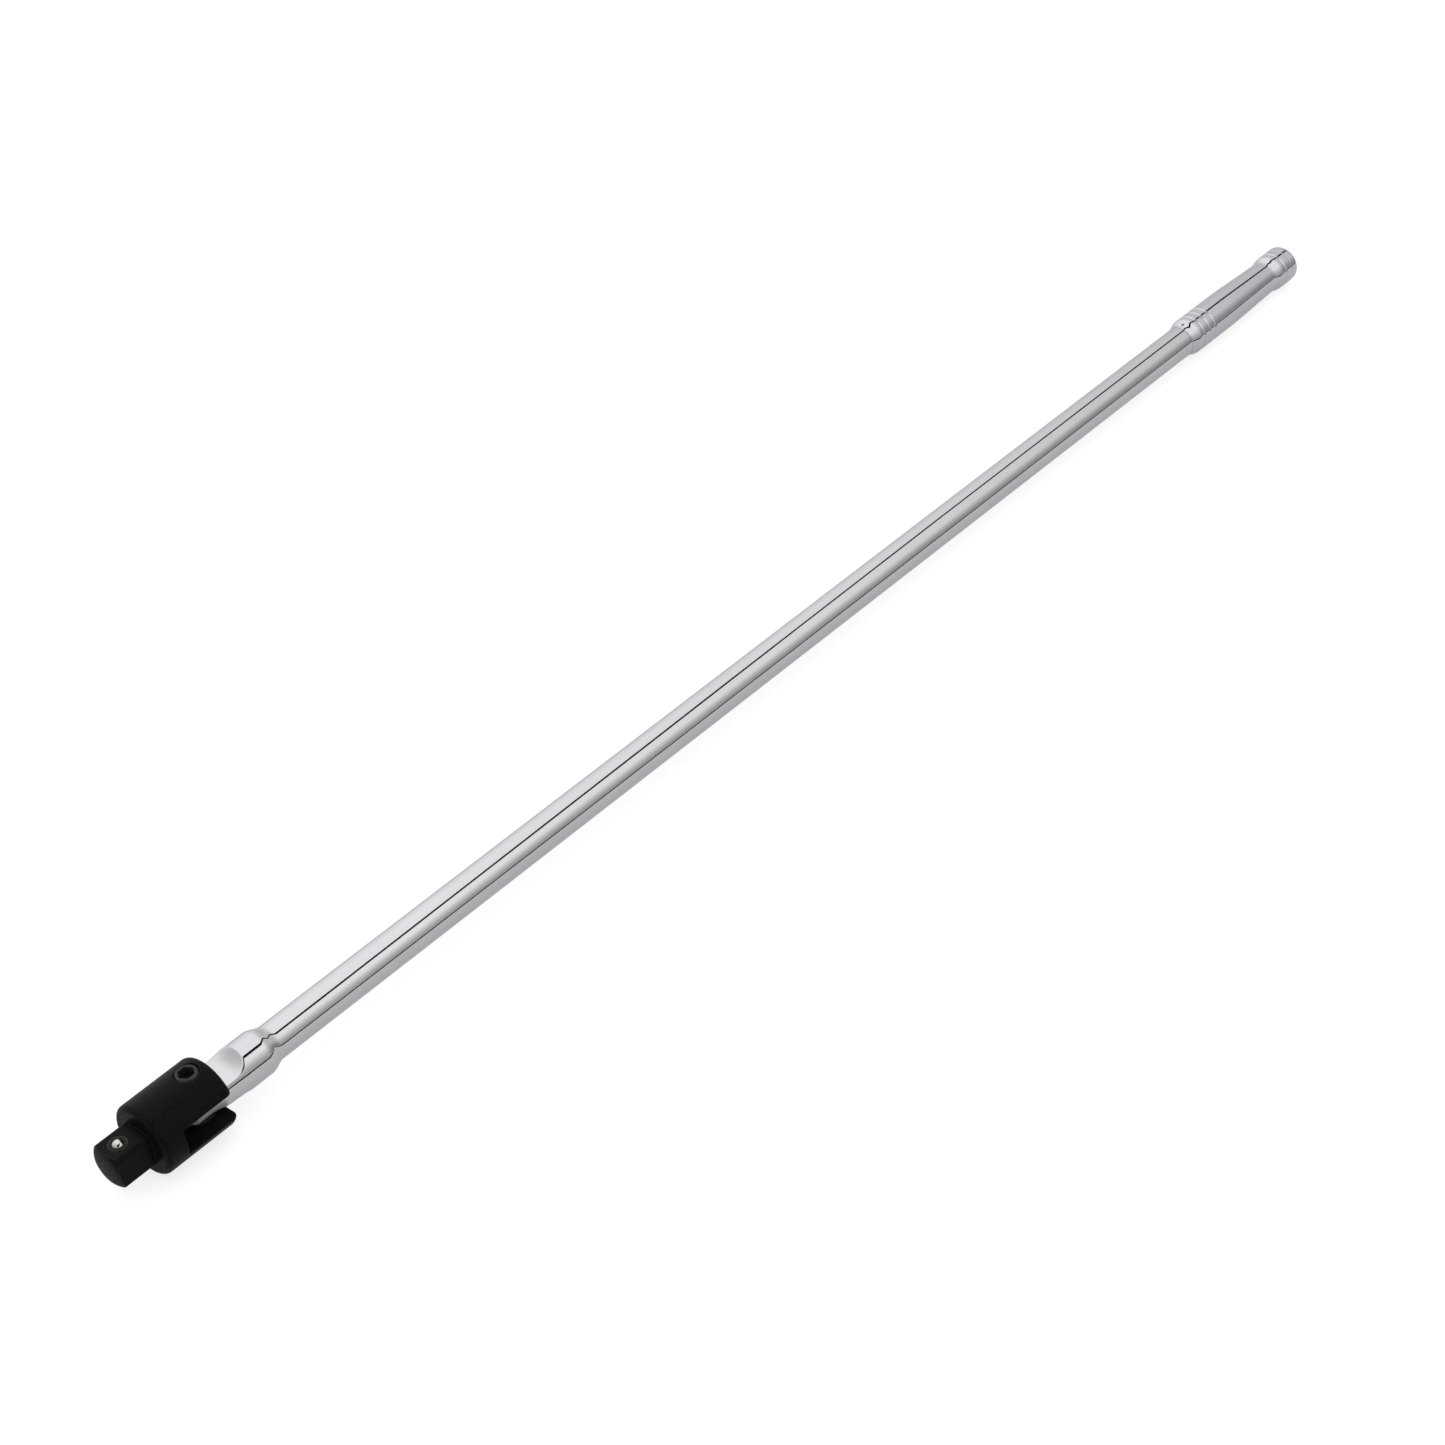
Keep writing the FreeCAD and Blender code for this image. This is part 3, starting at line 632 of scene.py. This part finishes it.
def make_spring():
    """The spring under the ball."""
    start = spring_low.z + WIRE_RADIUS
    rise = spring_high.z - WIRE_RADIUS - start
    count = round(rise / COIL_PITCH * COIL_STEPS)
    rings = []
    for index in range(count + 1):
        turn = 2 * math.pi * rise / COIL_PITCH * index / count
        height = start + rise * index / count
        ring = []
        for corner in range(WIRE_SEGMENTS):
            angle = 2 * math.pi * corner / WIRE_SEGMENTS
            off_axis = COIL_RADIUS + WIRE_RADIUS * math.cos(angle)
            ring.append((BALL_X + off_axis * math.cos(turn), off_axis * math.sin(turn),
                         height + WIRE_RADIUS * math.sin(angle)))
        rings.append(ring)
    spring = ring_mesh("coil_spring", rings)
    sharpen(spring, WIRE_CREASE)
    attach(spring, "head")
    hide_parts("detent_spring")
    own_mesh(spring)
    return spring


# ---------------------------------------------------------------- studio

FLOOR_SIZE = 12.0
FLOOR_CLEARANCE = 0.1 * MM
FLOOR_LIGHT = 0.30          # its own light, as a light table has
FLOOR_GLOW = 0.45           # more of it, which only the camera sees


def make_floor():
    """A pale floor just under the head's lower ear and the knob, so it tilts a little. Its own
    light keeps the shadow faint."""
    ears = Vector((head_high.x, 0, head_low.z))
    knob = Vector((plug_high.x - PLUG_ROUND, 0, plug_low.z))
    bpy.ops.mesh.primitive_plane_add(size=FLOOR_SIZE)
    floor = bpy.context.object
    floor.name = "floor"
    floor.rotation_euler.y = -math.atan2(knob.z - ears.z, knob.x - ears.x)
    floor.location = (ears + knob) / 2
    floor.location.z -= FLOOR_CLEARANCE
    material, tree, shader = new_material("pale_floor")
    tone = object_noise(tree, 3, detail=2)
    base = blend_colours(tree, tone, (0.41, 0.41, 0.41), (0.43, 0.43, 0.43))
    tree.links.new(base, shader.inputs["Base Color"])
    shader.inputs["Roughness"].default_value = 0.9
    shader.inputs["Specular IOR Level"].default_value = 0.1
    shader.inputs["Emission Color"].default_value = (1, 1, 1, 1)
    path = tree.nodes.new("ShaderNodeLightPath")
    glow = combine(tree, "MULTIPLY", path.outputs["Is Camera Ray"], FLOOR_GLOW)
    tree.links.new(combine(tree, "ADD", glow, FLOOR_LIGHT), shader.inputs["Emission Strength"])
    floor.data.materials.append(material)


# A low black band stands beside the bar, on the camera's side.
FLAG_PLACE = -120 * MM
FLAG_TOP = 0.5 * MM
FLAG_FOOT = -14 * MM
FLAG_ENDS = (-0.3, 1.5)
# Overhead, two softboxes meet in a dark gap. The camera looks through its wide end, and from
# there it runs slantwise over the head and then along the handle. Each point of its middle line
# is X, Y and half the gap's width.
GAP_HEIGHT = 1.0
GAP_ROUTE = [
    (-1.20, -1.30, 0.50),
    (-0.50, -0.80, 0.50),
    (0.00, -0.56, 0.34),
    (0.30, -0.50, 0.15),
    (0.60, -0.33, 0.10),
    (0.81, -0.21, 0.09),
    (1.13, 0.00, 0.085),
    (1.42, 0.11, 0.085),
    (3.20, 0.16, 0.11),
]


def black_cloth():
    """Dull black, with no sheen."""
    material, tree, shader = new_material("black_cloth")
    weave = object_noise(tree, 400)
    tree.links.new(blend_colours(tree, weave, (0.01, 0.01, 0.01), (0.02, 0.02, 0.02)),
                   shader.inputs["Base Color"])
    shader.inputs["Specular IOR Level"].default_value = 0
    return material


def hang_cloth(name, near, far, material):
    """A black band between two lines of points, which only mirrors see."""
    count = len(near)
    faces = [(i, i + 1, count + i + 1, count + i) for i in range(count - 1)]
    data = bpy.data.meshes.new(name)
    data.from_pydata(near + far, [], faces)
    data.materials.append(material)
    band = bpy.data.objects.new(name, data)
    bpy.context.scene.collection.objects.link(band)
    band.visible_camera = False
    band.visible_diffuse = False
    band.visible_shadow = False
    band.visible_transmission = False


def make_flags():
    """The black bands that give the polished bar its two dark lines: a low one beside it, and
    the gap overhead."""
    cloth = black_cloth()
    low = [(x, FLAG_PLACE, FLAG_FOOT) for x in FLAG_ENDS]
    high = [(x, FLAG_PLACE, FLAG_TOP) for x in FLAG_ENDS]
    hang_cloth("low_flag", low, high, cloth)
    near, far = [], []
    for index, (x, y, half) in enumerate(GAP_ROUTE):
        before = Vector(GAP_ROUTE[max(index - 1, 0)][:2])
        after = Vector(GAP_ROUTE[min(index + 1, len(GAP_ROUTE) - 1)][:2])
        along = (after - before).normalized()
        near.append((x + along.y * half, y - along.x * half, GAP_HEIGHT))
        far.append((x - along.y * half, y + along.x * half, GAP_HEIGHT))
    hang_cloth("overhead_gap", near, far, cloth)


# Light from round the bar's own axis, as long strip softboxes would give it. The first number is
# degrees from level on +Y, over the top, to level on -Y, and the second is brightness. Below
# level it is as bright as the first row.
AROUND_LIGHT = [
    (0, 0.95),
    (25, 1.08),
    (45, 1.20),
    (125, 1.18),
    (134, 1.16),
    (150, 0.86),
    (162, 0.65),
    (172, 0.51),
    (180, 0.45),
]
# The same light fades towards the boxes' two ends: the direction's X, and a share.
LENGTHWISE_LIGHT = [
    (-1.0, 0.40),
    (-0.3, 0.85),
    (0.0, 1.0),
    (0.45, 1.0),
    (0.60, 0.88),
    (0.70, 0.70),
    (0.82, 0.60),
]
BACKDROP = 1.0


def light_ramp(tree, value, stops):
    """A smooth table of brightness against a value from 0 to 1."""
    ramp = tree.nodes.new("ShaderNodeValToRGB")
    tree.links.new(value, ramp.inputs["Fac"])
    elements = ramp.color_ramp.elements
    while len(elements) < len(stops):
        elements.new(1.0)
    for element, (position, light) in zip(elements, stops):
        element.position = position
        element.color = (light, light, light, 1)
    return ramp.outputs["Color"]


def make_studio():
    """The light all round, and the plain backdrop that the camera sees in its place."""
    world = bpy.data.worlds.new("studio")
    bpy.context.scene.world = world
    world.use_nodes = True
    tree = world.node_tree
    sky = tree.nodes["Background"]
    place = tree.nodes.new("ShaderNodeTexCoord")
    split = tree.nodes.new("ShaderNodeSeparateXYZ")
    tree.links.new(place.outputs["Generated"], split.inputs["Vector"])
    turn = combine(tree, "ARCTAN2", split.outputs["Z"], split.outputs["Y"])
    round_share = remap(tree, turn, 0, 1, start=0, end=math.pi)
    around_stops = [(degrees / 180, light) for degrees, light in AROUND_LIGHT]
    around = light_ramp(tree, round_share, around_stops)
    long_share = remap(tree, split.outputs["X"], 0, 1, start=-1, end=1)
    long_stops = [((x + 1) / 2, light) for x, light in LENGTHWISE_LIGHT]
    lengthwise = light_ramp(tree, long_share, long_stops)
    level = combine(tree, "MULTIPLY", around, lengthwise)
    path = tree.nodes.new("ShaderNodeLightPath")
    seen = tree.nodes.new("ShaderNodeMix")
    tree.links.new(path.outputs["Is Camera Ray"], seen.inputs["Factor"])
    tree.links.new(level, seen.inputs["A"])
    seen.inputs["B"].default_value = BACKDROP
    tree.links.new(seen.outputs["Result"], sky.inputs["Strength"])
    sky.inputs["Color"].default_value = (1, 1, 1, 1)
    bpy.context.scene.view_settings.view_transform = "Standard"


# ---------------------------------------------------------------- put it together

CHROME_COLOUR = (0.642, 0.637, 0.662)
GRIP_COLOUR = (0.629, 0.622, 0.660)
chrome_bar = chrome("chrome_bar", CHROME_COLOUR, roughness=0.05, ripple=0.04 * MM,
                    matt_before=MATT_END)
chrome_grip = chrome("chrome_grip", GRIP_COLOUR, roughness=0.07, ripple=0.06 * MM)
phosphate = black_forging()
oxide = black_screw()
ball_steel = bright_steel("ball_steel", (0.72, 0.68, 0.62), roughness=0.08)
pin_steel = bright_steel("pin_steel", (0.42, 0.42, 0.42), roughness=0.35)
spring_steel = bright_steel("spring_steel", (0.45, 0.44, 0.43), roughness=0.3)
nylon = blue_nylon()

give(make_bar(), chrome_bar)
give(make_sleeve(), chrome_grip)
give(make_plug(), chrome_grip)
give(make_spring(), spring_steel)

nodes = frame["nodes"]
give(nodes["drive_head"], phosphate)
give(nodes["pivot_screw"], oxide)
give(nodes["friction_washer_upper"], oxide)
give(nodes["friction_washer_lower"], oxide)
give(nodes["detent_ball"], ball_steel)
give(nodes["handle_pin"], pin_steel)
give(nodes["thread_lock_pellet"], nylon)

make_camera()
make_studio()
make_floor()
make_flags()
